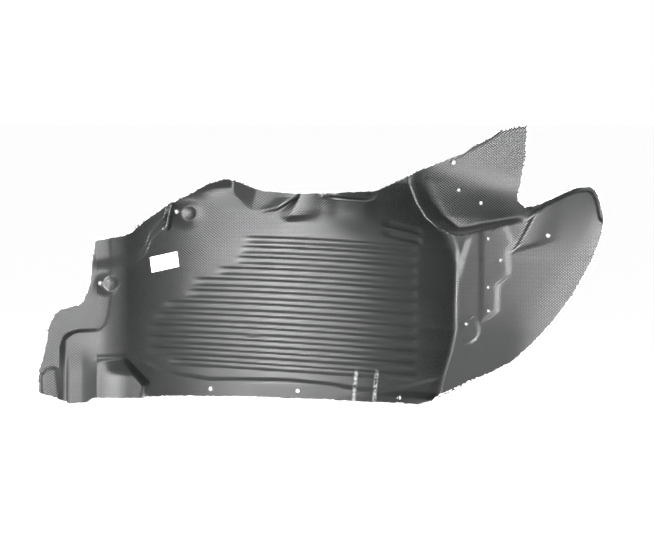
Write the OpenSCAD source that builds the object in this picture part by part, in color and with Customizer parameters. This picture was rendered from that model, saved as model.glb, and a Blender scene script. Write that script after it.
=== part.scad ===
// Wheel arch liner, the inner fender of a car's front wheel.
// It is one sheet of black plastic, vacuum formed, trimmed by hand and drilled. A blank paper
// label is stuck on it.
// It stands on its outer lip as in the photo: X is along the car, Z goes up from the surface
// it stands on, the wheel is on the -Y side. All sizes are in mm.

/* [Whole part] */
// Length along X
liner_l = 1013; // [900:1:1150]
// Height along Z
liner_h = 505; // [450:1:560]
// Thickness of the sheet
sheet_t = 2.2; // [1.5:0.1:3.5]

/* [Wheel arch] */
// Radius of the arch over the tyre, seen from above
arch_r = 340; // [330:1:400]
// Place of the deepest line of the arch along X
arch_x = -75; // [-95:1:-55]
// How far the deepest line lies behind the middle of the part
arch_y = 106; // [90:1:120]

/* [Stiffening ribs] */
// Number of long ribs in the arch
rib_n = 12; // [8:1:12]
// Distance from rib to rib
rib_pitch = 22.2; // [18:0.1:23]
// Width of a rib at its foot
rib_w = 16; // [12:0.5:18]
// Height of a rib over the sheet
rib_h = 3; // [2:0.1:6]
// Height of the middle of the ribbed field
rib_z = 180.3; // [175:0.1:186]

/* [Outer flange] */
// How far the flange is set back behind the ribbed field
flange_step = 5; // [2:0.5:8]
// Diameter of the drilled screw holes
hole_d = 7; // [4:0.5:9]

/* [Screw seats] */
// Radius of the round boss beside a screw hole
boss_r = 13; // [10:0.5:15]
// Height of that boss
boss_h = 8; // [4:0.5:9]
// Depth of the bowl around it
seat_deep = 10; // [5:0.5:12]

/* [Front panel] */
// Depth of the pocket in the front panel
pad_deep = 3.6; // [2:0.1:6]
// How steeply the foot of the fin slopes back
cove_slope = 0.6; // [0.3:0.05:0.8]
// Height of the lip turned up around the front end
rim_h = 7; // [3:0.5:10]

/* [Label] */
// Length of the paper label
label_l = 62; // [40:1:64]
// Width of the label
label_w = 28; // [20:1:30]
// Thickness of the label
label_t = 0.3; // [0.2:0.1:0.6]

/* [Hidden] */
// The drawing below is for a part 1013 long and 505 high.
kx = liner_l / 1013;
kz = liner_h / 505;

// Helpers: a value held between 0 and 1, a soft step, a rounded corner between two faces
function hold(t) = min(1, max(0, t));
function soft(t) = let (c = hold(t)) c * c * (3 - 2 * c);
function round_max(a, b, r) = max(a, b) + pow(max(r - abs(a - b), 0), 2) / (4 * r);
// Distance inside a convex outline whose points run clockwise
function inside(x, z, pts) = min([for (i = [0:len(pts) - 1])
    let (a = pts[i], b = pts[(i + 1) % len(pts)], l = norm(b - a))
    ((b[1] - a[1]) * (x - a[0]) - (b[0] - a[0]) * (z - a[1])) / l]);
// Distance from the line a to b
function off_line(x, z, a, b) =
    let (d = b - a, t = hold(((x - a[0]) * d[0] + (z - a[1]) * d[1]) / (d * d)))
    norm([x - a[0] - t * d[0], z - a[1] - t * d[1]]);

// Upper edge of the trimmed sheet, from the left end to the tip of the fin
top_edge = [[-505, 66], [-500, 82], [-491, 118], [-489, 142], [-478, 164], [-468, 176],
    [-430, 185], [-416, 213], [-406, 298], [-356, 306], [-341, 312], [-320, 331],
    [-309, 338], [-280, 359], [-235, 381], [-204, 398], [-172, 406], [-150, 401],
    [-118, 387], [-98, 383], [-44, 379], [22, 380], [51, 382], [96, 385], [141, 407],
    [168, 422], [230, 447], [300, 482], [318, 495], [351, 503], [368, 505]];
// Upper edge of the front lobe, from the notch beside the fin to the front end
lobe_edge = [[351, 372], [364, 359], [379, 360], [423, 380], [454, 393], [477, 395],
    [490, 390], [500, 370], [506.5, 340]];
// Lower edge, from the left end to the front end
low_edge = [[-505, 26], [-476, 18], [-450, 6], [-422, 7], [-407, 15], [-316, 13],
    [-237, 11], [-87, 6], [12, 3], [87, 0], [175, 0], [198, 9], [213, 21], [267, 45],
    [303, 59], [345, 80], [381, 113], [417, 152], [454, 202], [483, 254], [503, 303],
    [506.5, 325]];

// Corner between the arch and the front panel: place along X for each height
crease_x = [[12, 202], [23, 211], [58, 219], [100, 231], [138, 238], [192, 238],
    [237, 240], [261, 242], [282, 237], [306, 224], [318, 213], [339, 188], [367, 170],
    [402, 156]];
// How far that corner stands in front of the deepest line of the arch
crease_y = [[0, 172], [100, 200], [160, 212], [402, 216]];
// The same, smoothed by the mean of five readings over 60 mm
function corner_depth(z) = (lookup(z - 30, crease_y) + lookup(z - 15, crease_y)
    + lookup(z, crease_y) + lookup(z + 15, crease_y) + lookup(z + 30, crease_y)) / 5;
// Lower edge of the fin, above the ledge of the front panel
fin_low = [[150, 318], [217, 317], [251, 311], [278, 318], [376, 338], [387, 354], [428, 376],
    [452, 391], [480, 400]];
function fin_foot(x) = (lookup(x - 12, fin_low) + lookup(x, fin_low) + lookup(x + 12, fin_low)) / 3;

// Arch in plan: an arc over the tyre that runs out flatter at the left end
function arc_in(w) = arch_r - sqrt(max(1, arch_r * arch_r - w * w));
function left_run(d) = 0.36 * d + 26 * (1 - exp(-d / 26));
arc_end = 0.926 * arch_r;
function arch(x, z) =
    let (s = (x - arch_x) / (lookup(z, crease_x) - arch_x))
    x < arch_x - 270 ? arch_y - arc_in(270) - left_run(arch_x - 270 - x) :
    x < arch_x ? arch_y - arc_in(x - arch_x) :
    arch_y - corner_depth(z) * arc_in(min(1.03, s) * arc_end) / arc_in(arc_end)
        - max(0, s - 1.03) * 500;

// Front panel and fin both leave the corner at a slope and bend back from there
function beyond(x, z, rise, bend, top) = let (d = x - lookup(min(z, top), crease_x))
    arch_y - corner_depth(z) + rise * d - (d < 0 ? 0 : bend * d * d);
// The lower rim of the lobe curls forward in its last 90 mm
function curl(x, z) = x < 290 ? 0 :
    0.0008 * pow(max(0, 90 - z + lookup(x, low_edge)), 2) * soft((x - 290) / 120);
// The top of the lobe leans forward
function tip(x, z) = 0.0022 * pow(max(0, z - 270), 2) * soft((x - 350) / 70);
// The lower part of the fin slopes back to its foot, from a bend that falls to the right
function cove(x, z) = round_max(cove_slope * (428 - 0.42 * (x - 250) - z), 0, 7)
    * (1 - hold((x - 360) / 90)) * soft((x - lookup(z, crease_x) + 10) / 50);

// The plain form without its small features
function form(x, z) =
    let (up = pow(hold((z - fin_foot(x) + 6) / 12), 2),
        panel = beyond(x, z, 0.5, 0.00075, 270) - curl(x, z) - tip(x, z),
        fin = beyond(x, z, 0.4, 0.0014, 505) + cove(x, z))
    round_max(arch(x, z), panel * (1 - up) + fin * up,
        14 - 5 * up + 26 * soft((z - 235) / 60) * (1 - up));

// Ribs, counted from the middle of the field: middle line, half width, ends and section
rib_left = [-282, -323, -323, -323, -309, -291, -249, -238, -197, -163, -154, -147];
function rib_mid(k, x) = let (t = (x - arch_x) / 100)
    rib_z + rib_pitch * (k - 0.0017 * pow(k, 3)) - 0.1 * k * k - (5 - 0.27 * k) * t
        - (0.1 + 0.12 * k) * t * t;
function rib_half(k) = rib_w / 2 * (1 - 0.007 * k * k);
function rib_fade(j, x) = soft((x - rib_left[j]) / 28) * soft((176 - x) / 14);
function rib_cut(v) = soft(2 - 2 * abs(v));
function ribs(x, z) = x < -325 || x > 178 ? 0 :
    let (j0 = round((z - rib_mid(0, x)) / rib_pitch + 5.5))
    max([0, for (j = [max(0, j0 - 1):1:min(rib_n - 1, j0 + 1)])
        rib_h * rib_fade(j, x) * rib_cut((z - rib_mid(j - 5.5, x)) / rib_half(j - 5.5))]);
// Two short ribs above them at the right
short_z = [301, 319];
short_w = rib_w / 1.15;
function short_mid(z0, x) = z0 - 0.22 * (x - 150);
function short_rib(x, z, z0) = rib_h * soft((x - 105) / 20) * soft((184 - x) / 12)
    * rib_cut((z - short_mid(z0, x)) / (short_w / 2));

// Line where the ribbed field ends above the outer flange
flange_line = [[-345, 96], [-320, 78], [-291, 63], [-255, 52], [-201, 42], [-129, 41],
    [-57, 39], [21, 32], [63, 24], [108, 22], [153, 32], [207, 49]];
function flange(x, z) = x > 230 || x < -330 ? 0 :
    flange_step * soft((lookup(x, flange_line) - z + 3) / 6) * soft((x + 330) / 30)
        * soft((lookup(z, crease_x) - x - 4) / 16);

// Pleats of the upper edge: the face comes forward to a ridge, drops back to a valley and
// returns to the plain form
ridge_1 = [[350, -132], [365, -147], [381, -162], [405, -165]];
valley_1 = [[350, -126], [382, -119], [405, -116]];
ridge_2 = [[326, -72], [338, -76], [345, -76], [371, -42]];
valley_2 = [[326, -64], [347, -51], [371, -40]];
fade_2 = [[-130, 338], [-81, 345], [-42, 369]];
function pleat(x, r, v, deep, wide, upper) = let (s = (x - r) / (v - r))
    deep * (x < r ? -0.5 * upper * soft((x - r + wide) / wide) :
        x < v ? s * (0.5 + 0.5 * upper) - 0.5 * upper : 0.5 * soft(1 - (x - v) / 60));
function folds(x, z) =
    pleat(x, lookup(z, ridge_1), lookup(z, valley_1), 24 * hold((z - 348) / 40), 60, 1)
    + pleat(x, lookup(z, ridge_2), lookup(z, valley_2), 16 * soft((z - 324) / 16), 50,
        soft((z - lookup(x, fade_2)) / 8));
// Strip set back behind the lip of the upper edge, the soft shoulder under it, and the edge
// left of the first pleat, which rolls back
lip = [[-36, 384], [-33, 373], [9, 369], [51, 366], [78, 365], [93, 368], [111, 383]];
roll_low = [[-280, 352], [-240, 362], [-150, 372]];
function back_strip(x, z) = 22 * soft((z - lookup(x, lip) + 2) / 9) * soft((x - 2) / 20)
    * soft((105 - x) / 20);
function shoulder(x, z) = 4 * soft((z - 322) / 30) * soft((x + 60) / 50) * soft((110 - x) / 40);
function roll(x, z) = 30 * pow(hold((z - lookup(x, roll_low)) / 45), 2)
    * soft((x + 290) / 40) * soft((lookup(z, ridge_1) - x + 4) / 8);

// Upper-left corner: plate set back behind the arch, with a sloped edge
plate_low = [[-420, 240], [-376, 244], [-330, 254], [-316, 266], [-308, 290], [-282, 318],
    [-271, 358], [-268, 420]];
function plate(x, z) = x > -268 ? 0 :
    9 * soft((z - lookup(x, plate_low)) / 26) * soft((-268 - x) / 10);
fold_a = [-271, 360];
fold_b = [-279, 318];
function fold(x, z) = 6 * soft(1 - off_line(x, z, fold_a, fold_b) / 8);

// Screw seats: a soft bowl with a round boss in it, beside the hole
seat_top = [-245, 341];
seat_left = [-386, 218];
function seat(x, z, c, rx, rz, across) =
    seat_deep * soft(1 - norm([(x - c[0]) / rx, (z - c[1]) / rz]))
    - boss_h * soft((boss_r - norm([x - c[0] - across, z - c[1] - 2])) / 9);

// Left end: the shallow dish, the box pressed forward at its foot, the tilted corner beside
// it, the ledge over that corner and the small patch at the outer side
dish_top = [[-470, 70], [-466, 110], [-460, 130], [-452, 136], [-436, 140], [-398, 141],
    [-388, 150], [-380, 170], [-378, 206], [-377, 400]];
function dish(x, z) =
    let (d = min(lookup(x, dish_top) - z, x + 470, 20), w = 6 + 4 * hold((-440 - x) / 20))
    (1.5 + 15 * hold((-392 - x) / 74)) * soft(d / w) * soft((-335 - x) / 40);
function box(x, z) = 17 * soft((118 - z) / 62)
    * min(soft((x + 474) / 26), hold((-394 - x) / 34));
corner_out = [[-404, 4], [-402, 86], [-350, 88], [-342, 78], [-309, 44], [-317, -8]];
corner_top = [[-402, 86], [-350, 88], [-342, 78], [-309, 44]];
function corner(x, z) = 0.62 * max(0, x + 404) * soft(inside(x, z, corner_out) / 9)
    * soft((92 - z) / 40);
function ledge(x, z) = 3 * soft(1 - abs(z - 87) / 8) * soft((x + 408) / 8)
    * soft((-346 - x) / 14);
patch_out = [[-498, 20], [-500, 60], [-488, 72], [-472, 70], [-468, 15]];
function patch(x, z) = 6 * soft((inside(x, z, patch_out) + 4) / 9);

// Pocket in the front panel, shallow pocket around the lowest hole, and the lobe's fold
pad_right = [[150, 290], [171, 315], [219, 316], [237, 336], [278, 334], [294, 342],
    [330, 327]];
function pad(x, z) = pad_deep * soft((x - 281) / 9) * hold(min(z - 148 - 0.55 * (x - 283),
    lookup(x, fin_low) - z + 4, lookup(z, pad_right) - x + 4) / 9);
function low_pocket(x, z) = 3 * soft((1 - norm([(x - 262) / 22, (z - 138) / 26])) / 0.2)
    * soft((x - 246) / 8);
function lobe_fold(x, z) = 7 * soft(min((x - 339) * 0.87 - (z - 275) * 0.48,
    (z - 275) - 0.25 * (x - 339)) / 7) * soft((430 - x) / 60);

// Lip turned forward along the top and front of the lobe, and along the fin
function from_lobe_edge(x, z) = min([for (i = [1:len(lobe_edge) - 2])
    off_line(x, z, lobe_edge[i], lobe_edge[i + 1])]);
function rim(x, z) =
    x > 366 && z < 396 ? rim_h * soft((12 - from_lobe_edge(x, z)) / 7) * soft((x - 366) / 20) :
    x > 150 && z > 380 ? 0.6 * rim_h * soft(1 - (lookup(x, top_edge) - z) / 10) : 0;

// The whole form of the front face; small features add to or take from the plain form
function face(x, z) = form(x, z) - ribs(x, z) - max([for (z0 = short_z) short_rib(x, z, z0)])
    + flange(x, z)
    + (z > 300 && x < 130 ?
        folds(x, z) + back_strip(x, z) + shoulder(x, z) + roll(x, z) : 0)
    + plate(x, z) - fold(x, z)
    + seat(x, z, seat_top, 36, 31, 6) + seat(x, z, seat_left, 25, 23, 8)
    + (x < -300 ? dish(x, z) - box(x, z) - corner(x, z) - ledge(x, z) - patch(x, z) : 0)
    + (x > 240 ? pad(x, z) + low_pocket(x, z) - lobe_fold(x, z) - rim(x, z) : 0);

// Columns of points, from the lower to the upper edge. The columns beside the corner of arch
// and front panel lean with it; 240 is the one that runs along the corner itself.
cols_left = [-505, -499, -492, -485, -477, -470, -465, -459, -451, -442, -433, -424, -415,
    -408, -402, -397, -391, -384, -378, -372, -364, -354, -343, -332, -322, -313, -304];
cols_arch = [-294, -284, -264, -246, -226, -204, -180, -160, -132, -117, -96, -74, -58, -40,
    -12, 20, 52, 82, 108, 130, 146, 158, 168, 176, 183];
cols_wall = [192, 204, 216, 225, 231, 236];
cols_front = [240, 244, 249, 255, 262, 271, 281, 287, 300, 312, 318, 331, 337, 351];
cols_lobe = [364, 376, 390, 408, 426, 444, 460, 475, 487, 497, 506.5];
function lean(n, z) =
    n > 130 && n <= 240 ? 130 + (lookup(z, crease_x) - 130) * (n - 130) / 110 :
    n > 240 && n < 281 ? 281 - (281 - lookup(z, crease_x)) * (281 - n) / 41 : n;

// Points between two heights, about the same distance apart
function spread(a, b, step) = let (n = max(1, ceil((b - a) / step)))
    [for (i = [1:n]) a + (b - a) * i / n];
function sorted(v) = len(v) < 2 ? v : let (p = v[floor(len(v) / 2)])
    concat(sorted([for (a = v) if (a < p) a]), [p], sorted([for (a = v) if (a > p) a]));
// The same heights without those that lie too close together
function apart(v, i, last, top) = i == len(v) ? [] :
    v[i] > last + 2.4 && v[i] < top - 2.4 ? concat([v[i]], apart(v, i + 1, v[i], top)) :
    apart(v, i + 1, last, top);
function filled(v, step) = [for (i = [0:len(v) - 2]) each spread(v[i], v[i + 1], step)];

// Heights a column needs: along the ribs, the flange line and the edges of other features
function rib_rows(m, h) = [m - h, m - h / 2, m + h / 2, m + h];
function wanted(n, x, top) = concat(
    n > -325 && n < 186 ? [for (j = [0:rib_n - 1])
        let (k = j - 5.5, xr = lean(n, rib_z + k * rib_pitch), m = rib_mid(k, xr))
        each (rib_fade(j, xr) > 0 ? rib_rows(m, rib_half(k)) : [m])] : [],
    n > 104 && n < 192 ? [for (z0 = short_z)
        each rib_rows(short_mid(z0, lean(n, z0)), short_w / 2)] : [],
    n > -330 && n < 225 ? [lookup(x, flange_line) - 3, lookup(x, flange_line) + 3] : [],
    n > 225 && n < 440 ? [for (d = [-6, 0, 6]) fin_foot(lean(n, 312)) + d] : [],
    n > -325 && n < -240 ? [229, 281] : [],
    n > -405 && n < -308 ? [lookup(x, corner_top), lookup(x, corner_top) - 12] : [],
    n > -468 && n < -378 ? [lookup(x, dish_top), lookup(x, dish_top) - 8] : [],
    n > -5 && n < 110 ? [lookup(x, lip) - 2, lookup(x, lip) + 5] : [],
    n > 281 && n < 340 ? [152, 168, 216, 237, 277] : [],
    n > 372 ? [top - 13, top - 5] : n > 150 ? [top - 8] : []);
function rows(n, low, top) = filled(
    concat([low], apart(sorted(wanted(n, lean(n, low), top)), 0, low, top), [top]),
    n > -300 && n < 226 ? 18 : 13);
function column(n, low, top) =
    concat([[lean(n, low), low]], [for (z = rows(n, low, top)) [lean(n, z), z]]);

notch = 372;
fin_side = [[353.5, 385], [357, 400], [359, 412], [362.5, 430], [366, 450], [366.7, 468],
    [367.4, 487], [368, 505]];
cols_fin = concat(cols_left, cols_arch, cols_wall, cols_front);
notch_col = len(cols_fin) - 1;
cols = concat(
    [for (n = cols_fin) let (low = lookup(lean(n, 0), low_edge))
        n < 351 ? column(n, low, lookup(lean(n, 450), top_edge)) :
        concat(column(n, low, notch), fin_side)],
    [for (n = cols_lobe) column(n, lookup(n, low_edge), lookup(n, lobe_edge))]);
first = [for (k = 0, n = 0; k <= len(cols); n = n + (k < len(cols) ? len(cols[k]) : 0),
    k = k + 1) n];
front_n = first[len(cols)];
notch_row = len(cols[notch_col]) - 1 - len(fin_side);

// Front and back point for a place on the sheet
function point(x, z) = [x, face(x, z), z];
function back(x, z) =
    let (s = (form(x + 4, z) - form(x - 4, z)) / 8, h = (face(x, z + 3) - face(x, z - 3)) / 6,
        t = sheet_t * min(1.8, sqrt(1 + h * h)) / sqrt(1 + s * s))
    [x - s * t, face(x, z) + t, z];
function scaled(p) = [p[0] * kx, p[1], p[2] * kz];
points = concat([for (c = cols) for (p = c) scaled(point(p[0], p[1]))],
    [for (c = cols) for (p = c) scaled(back(p[0], p[1]))]);
// The part stands with the middle of its box over the origin
px = [for (p = points) p[0]];
py = [for (p = points) p[1]];
centre = [-(min(px) + max(px)) / 2, -(min(py) + max(py)) / 2, 0];

// Triangles between two neighbour columns, stepping up the one whose next point is lower
function next(a, b, i, j) = j >= len(b) - 1 || (i < len(a) - 1 && a[i + 1][1] <= b[j + 1][1])
    ? [i + 1, j] : [i, j + 1];
function strip(k) =
    let (a = k == notch_col ? [for (i = [0:notch_row]) cols[k][i]] : cols[k], b = cols[k + 1],
        p = first[k], q = first[k + 1])
    [for (s = [0, 0]; s[0] < len(a) - 1 || s[1] < len(b) - 1; s = next(a, b, s[0], s[1]))
        let (n = next(a, b, s[0], s[1]))
        n[0] > s[0] ? [p + s[0], p + n[0], q + s[1]] : [p + s[0], q + n[1], q + s[1]]];
function wall(a, b) = [[a, b, b + front_n], [a, b + front_n, a + front_n]];
function top_of(k) = first[k + 1] - 1;

module sheet() {
    skin = [for (k = [0:len(cols) - 2]) each strip(k)];
    rim_faces = concat(
        [for (k = [0:len(cols) - 2]) each wall(first[k], first[k + 1])],
        [for (k = [0:len(cols) - 2]) each wall(top_of(k + 1),
            k == notch_col ? first[k] + notch_row : top_of(k))],
        [for (i = [0:len(cols[0]) - 2]) each wall(i + 1, i)],
        [for (i = [notch_row:len(cols[notch_col]) - 2])
            each wall(first[notch_col] + i, first[notch_col] + i + 1)],
        [for (i = [first[len(cols) - 1]:front_n - 2]) each wall(i, i + 1)]);
    polyhedron(points = points,
        faces = concat(skin, [for (t = skin) [t[0] + front_n, t[2] + front_n, t[1] + front_n]],
            rim_faces), convexity = 12);
}

// Screw holes, each drilled square to the sheet: place along X and height, diameter factor
holes = [[-201, 24, 1], [-43, 19, 1], [141, 11, 1], [-261, 346, 1], [-396, 221, 1],
    [237, 438, 1], [246, 388, 0.8], [286, 365, 0.8], [299, 301, 0.7], [321, 262, 0.7],
    [299, 214, 0.7], [299, 172, 0.7], [259, 149, 0.8], [406, 306, 1]];
module drill(h) {
    s = (form(h[0] + 8, h[1]) - form(h[0] - 8, h[1])) / 16;
    translate(scaled(point(h[0], h[1]))) rotate([90, 0, atan(s)])
        cylinder(d = hole_d * h[2], h = 14 * sheet_t, center = true, $fn = 40);
}

module liner() {
    color("DimGray") translate(centre) difference() {
        sheet();
        for (h = holes) drill(h);
    }
}

// Label: a strip of paper on the plain side of the arch, bent with the sheet along the same
// upright lines. Its outline is turned a little and shortened by the slope of the sheet.
label_at = [-283, 256];
label_turn = 9;
module label() {
    slope = (form(label_at[0] + 8, 256) - form(label_at[0] - 8, 256)) / (16 * kx);
    plan = [for (x = concat(cols_left, cols_arch)) if (x > -330 && x < -240)
        [x * kx, face(x, 256)]];
    color("White") translate(centre) intersection() {
        translate([0, 0, 200 * kz]) linear_extrude(height = 120 * kz) polygon(concat(plan,
            [for (i = [len(plan) - 1:-1:0])
                plan[i] + [label_t * slope, -label_t] / sqrt(1 + slope * slope)]));
        translate([label_at[0] * kx, liner_l / 7, label_at[1] * kz]) rotate([90, 0, 0])
            scale([1 / sqrt(1 + slope * slope), 1, 1]) rotate(label_turn)
            linear_extrude(height = liner_l / 3) square([label_l, label_w], center = true);
    }
}

liner();
label();
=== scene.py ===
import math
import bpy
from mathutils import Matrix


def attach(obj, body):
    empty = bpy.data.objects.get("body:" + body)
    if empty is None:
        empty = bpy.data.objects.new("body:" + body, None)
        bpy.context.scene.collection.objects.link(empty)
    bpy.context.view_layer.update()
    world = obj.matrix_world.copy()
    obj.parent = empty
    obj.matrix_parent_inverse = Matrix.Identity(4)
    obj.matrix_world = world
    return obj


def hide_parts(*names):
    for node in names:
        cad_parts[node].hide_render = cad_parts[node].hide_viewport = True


bl_info = {
    "name": "Wheel Arch Liner",
    "version": (1, 0, 0),
    "blender": (4, 5, 0),
    "location": "View3D > Sidebar > Liner",
    "description": "Vacuum-formed wheel arch liner with its paper label, in a plain studio",
    "category": "Object",
}

import bpy
import numpy as np

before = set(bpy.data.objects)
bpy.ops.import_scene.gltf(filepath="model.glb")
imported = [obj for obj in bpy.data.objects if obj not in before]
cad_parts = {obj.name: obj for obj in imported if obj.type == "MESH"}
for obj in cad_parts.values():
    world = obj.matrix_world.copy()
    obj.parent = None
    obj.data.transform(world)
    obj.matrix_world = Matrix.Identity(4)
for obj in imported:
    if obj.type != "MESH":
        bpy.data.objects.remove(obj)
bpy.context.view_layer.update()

# Lines of the drawing, in mm: X across, Z up. The sheet's trimmed outline comes first.
TOP_EDGE = [[-505, 66], [-500, 82], [-491, 118], [-489, 142], [-478, 164], [-468, 176],
    [-430, 185], [-416, 213], [-406, 298], [-356, 306], [-341, 312], [-320, 331],
    [-309, 338], [-280, 359], [-235, 381], [-204, 398], [-172, 406], [-150, 401],
    [-118, 387], [-98, 383], [-44, 379], [22, 380], [51, 382], [96, 385], [141, 407],
    [168, 422], [230, 447], [300, 482], [318, 495], [351, 503], [368, 505]]
LOBE_EDGE = [[351, 372], [364, 359], [379, 360], [423, 380], [454, 393], [477, 395],
    [490, 390], [500, 370], [506.5, 340]]
LOW_EDGE = [[-505, 26], [-476, 18], [-450, 6], [-422, 7], [-407, 15], [-316, 13],
    [-237, 11], [-87, 6], [12, 3], [87, 0], [175, 0], [198, 9], [213, 21], [267, 45],
    [303, 59], [345, 80], [381, 113], [417, 152], [454, 202], [483, 254], [503, 303],
    [506.5, 325]]
# Right side of the fin above the notch, as height and offset from the notch
FIN_SIDE = [[372, 0], [385, 2.5], [400, 6], [412, 8], [430, 11.5], [450, 15], [468, 15.7],
    [487, 16.4], [505, 17]]
# The corner between arch and front panel: its X at each height, and at each height how far
# it stands in front of the arch's deepest line
CREASE_X = [[12, 202], [23, 211], [58, 219], [100, 231], [138, 238], [192, 238],
    [237, 240], [261, 242], [282, 237], [306, 224], [318, 213], [339, 188], [367, 170],
    [402, 156]]
CREASE_Y = [[0, 172], [100, 200], [160, 212], [402, 216]]
# The soft fold beside that corner, as height and X
SIDE_FOLD = [[203, 240], [239, 247], [266, 252], [300, 263]]
# The foot of the fin, and the upper line of the flat flange
FIN_LOW = [[150, 318], [217, 317], [251, 311], [278, 318], [376, 338], [387, 354], [428, 376],
    [452, 391], [480, 400]]
FLANGE_LINE = [[-345, 96], [-320, 78], [-291, 63], [-255, 52], [-201, 42], [-129, 41],
    [-57, 39], [21, 32], [63, 24], [108, 22], [153, 32], [207, 49]]
# Left end of each long rib, from the lowest up
RIB_LEFT = [-282, -323, -323, -323, -309, -291, -249, -238, -197, -163, -154, -147]
# The lip over the set-back strip, and the two pleats of the top edge: each has the line
# of its ridge and that of its valley, as height and X
LIP = [[-36, 384], [-33, 373], [9, 369], [51, 366], [78, 365], [93, 368], [111, 383]]
RIDGE_ONE = [[350, -132], [365, -147], [381, -162], [405, -165]]
VALLEY_ONE = [[350, -126], [382, -119], [405, -116]]
RIDGE_TWO = [[326, -72], [338, -76], [345, -76], [371, -42]]
VALLEY_TWO = [[326, -64], [347, -51], [371, -40]]
# The flat piece at the upper left, and on the left end the dish, the tilted corner and
# the patch
PLATE_LOW = [[-420, 240], [-376, 244], [-330, 254], [-316, 266], [-308, 290], [-282, 318],
    [-271, 358], [-268, 420]]
DISH_TOP = [[-470, 70], [-466, 110], [-460, 130], [-452, 136], [-436, 140], [-398, 141],
    [-388, 150], [-380, 170], [-378, 206], [-377, 400]]
CORNER = [[-404, 4], [-402, 86], [-350, 88], [-342, 78], [-309, 44], [-317, -8]]
PATCH = [[-498, 20], [-500, 60], [-488, 72], [-472, 70], [-468, 15]]
# Right side of the pad on the front panel, as height and X
PAD_RIGHT = [[150, 290], [171, 315], [219, 316], [237, 336], [278, 334], [294, 342],
    [330, 327]]
# Middles of the two screw seats
SEAT_TOP, SEAT_LEFT = (-245, 341), (-386, 218)
# Drilled holes: X, Z and diameter
HOLES = [[-201, 24, 7], [-43, 19, 7], [141, 11, 7], [-261, 346, 7], [-396, 221, 7],
    [237, 438, 7], [246, 388, 5.6], [286, 365, 5.6], [299, 301, 4.9], [321, 262, 4.9],
    [299, 214, 4.9], [299, 172, 4.9], [259, 149, 5.6], [406, 306, 7]]
# Line through the middle of the sheet that the rows of the grid gather on
MID_LINE = [[-505, 52], [-478, 118], [-430, 138], [-380, 170], [-341, 220], [-300, 266],
    [-250, 300], [-150, 320], [0, 320], [150, 318], [217, 317], [251, 312], [278, 320],
    [315, 345], [351, 372]]
# X of the sheet's left end, of the notch between fin and lobe, and of the lobe's end; and
# the height of the fin's highest point
LEFT_END, NOTCH, RIGHT_END, HIGH_END = -505, 351.0, 506.5, 505.0
# The arch: its radius, and the X and depth Y of its deepest line
ARCH_R, ARCH_X, ARCH_Y = 340.0, -75.0, 106.0
# How far the circle goes to the left, and how far it is drawn out to the right
ARC_LEFT, ARC_END = 270.0, 0.926 * ARCH_R
# The run beyond the circle's left end: its final slope, and how much it bends before it
RUN_SLOPE, RUN_BEND = 0.36, 26
# The ledge at the fin's foot: its height, and its flat faces' range along X and over the foot
LEDGE, LEDGE_X, LEDGE_FLAT = 12, (200, 372), (-7, 3)
# Height of the middle rib line where the arch is deepest, X of the ribs' right end, and
# heights of the two short ribs at X 150
RIB_Z, RIB_RIGHT, SHORT_RIBS = 180.3, 176, (301, 319)
# Cells of the sheet's grid: across left of the notch, across the lobe, and up to the middle
# line and from there
CELLS, LOBE_CELLS, LOW_ROWS, HIGH_ROWS = 320, 58, 144, 56
# The label: its middle, size, turn, cells, and the distance of its two faces from the sheet
LABEL_X, LABEL_Z, LABEL_W, LABEL_H, LABEL_TURN = -283.0, 256.0, 62, 28, math.radians(9)
LABEL_CELLS = (40, 20)
LABEL_FRONT, LABEL_REAR = 0.35, 0.05
# In metres: height of the grain, and sizes of the cloudy tone, the torn edge and the fibre
GRAIN_HEIGHT, CLOUD, TORN, FIBRE = 0.0002, 0.06, 0.004, 0.002
# Roughness of the skin where it pressed on the mould, and where it did not
SATIN, MATT = 0.26, 0.68
# The two chalk-like lines, in metres: X midway between them at the floor, lean to the right,
# half the distance between them, and the distances and heights over which they fade out
CHALK_X, CHALK_LEAN, CHALK_HALF = 0.0758, 0.09, 0.0185
CHALK_WIDTH, CHALK_TOP = (0.0008, 0.0045), (0.050, 0.062)
# The stage, in metres: corners of the floor, and the lamps' distance and the height that
# they turn about
FLOOR = [[-14, -14, 0], [14, -14, 0], [14, 40, 0], [-14, 40, 0]]
LAMP_FAR, LAMP_MIDDLE = 1.6, 0.25
# The camera: the point it aims at, its rise, and how wide the photograph is there, in metres
AIM, CAMERA_RISE, PHOTO_WIDTH = (0.0094, -0.003, 0.2336), math.radians(2), 1.1772


class LinerSettings(bpy.types.PropertyGroup):
    """Sizes and colours of the liner and its label"""
    sheet_t: bpy.props.FloatProperty(name="Sheet thickness",
        description="Thickness of the formed sheet", default=0.0022, unit="LENGTH")
    rib_h: bpy.props.FloatProperty(name="Rib height",
        description="How far the ribs stand proud", default=0.003, unit="LENGTH")
    rib_w: bpy.props.FloatProperty(name="Rib width",
        description="Width of one rib at its foot", default=0.016, unit="LENGTH")
    rib_pitch: bpy.props.FloatProperty(name="Rib pitch",
        description="Height from one rib to the next", default=0.0222, unit="LENGTH")
    grain_across: bpy.props.FloatProperty(name="Grain, across",
        description="Length of one diamond of the grain", default=0.0062, unit="LENGTH")
    grain_up: bpy.props.FloatProperty(name="Grain, up",
        description="Height of one diamond of the grain", default=0.0046, unit="LENGTH")
    sheet_colour: bpy.props.StringProperty(name="Sheet colour",
        description="Colour of the plastic, sRGB hex", default="#0e0f0f")
    scuff_colour: bpy.props.StringProperty(name="Scuff colour",
        description="Colour of the cut edge and of scuffs, sRGB hex", default="#c9cbc8")
    paper_colour: bpy.props.StringProperty(name="Paper colour",
        description="Colour of the label, sRGB hex", default="#eceae6")


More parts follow.
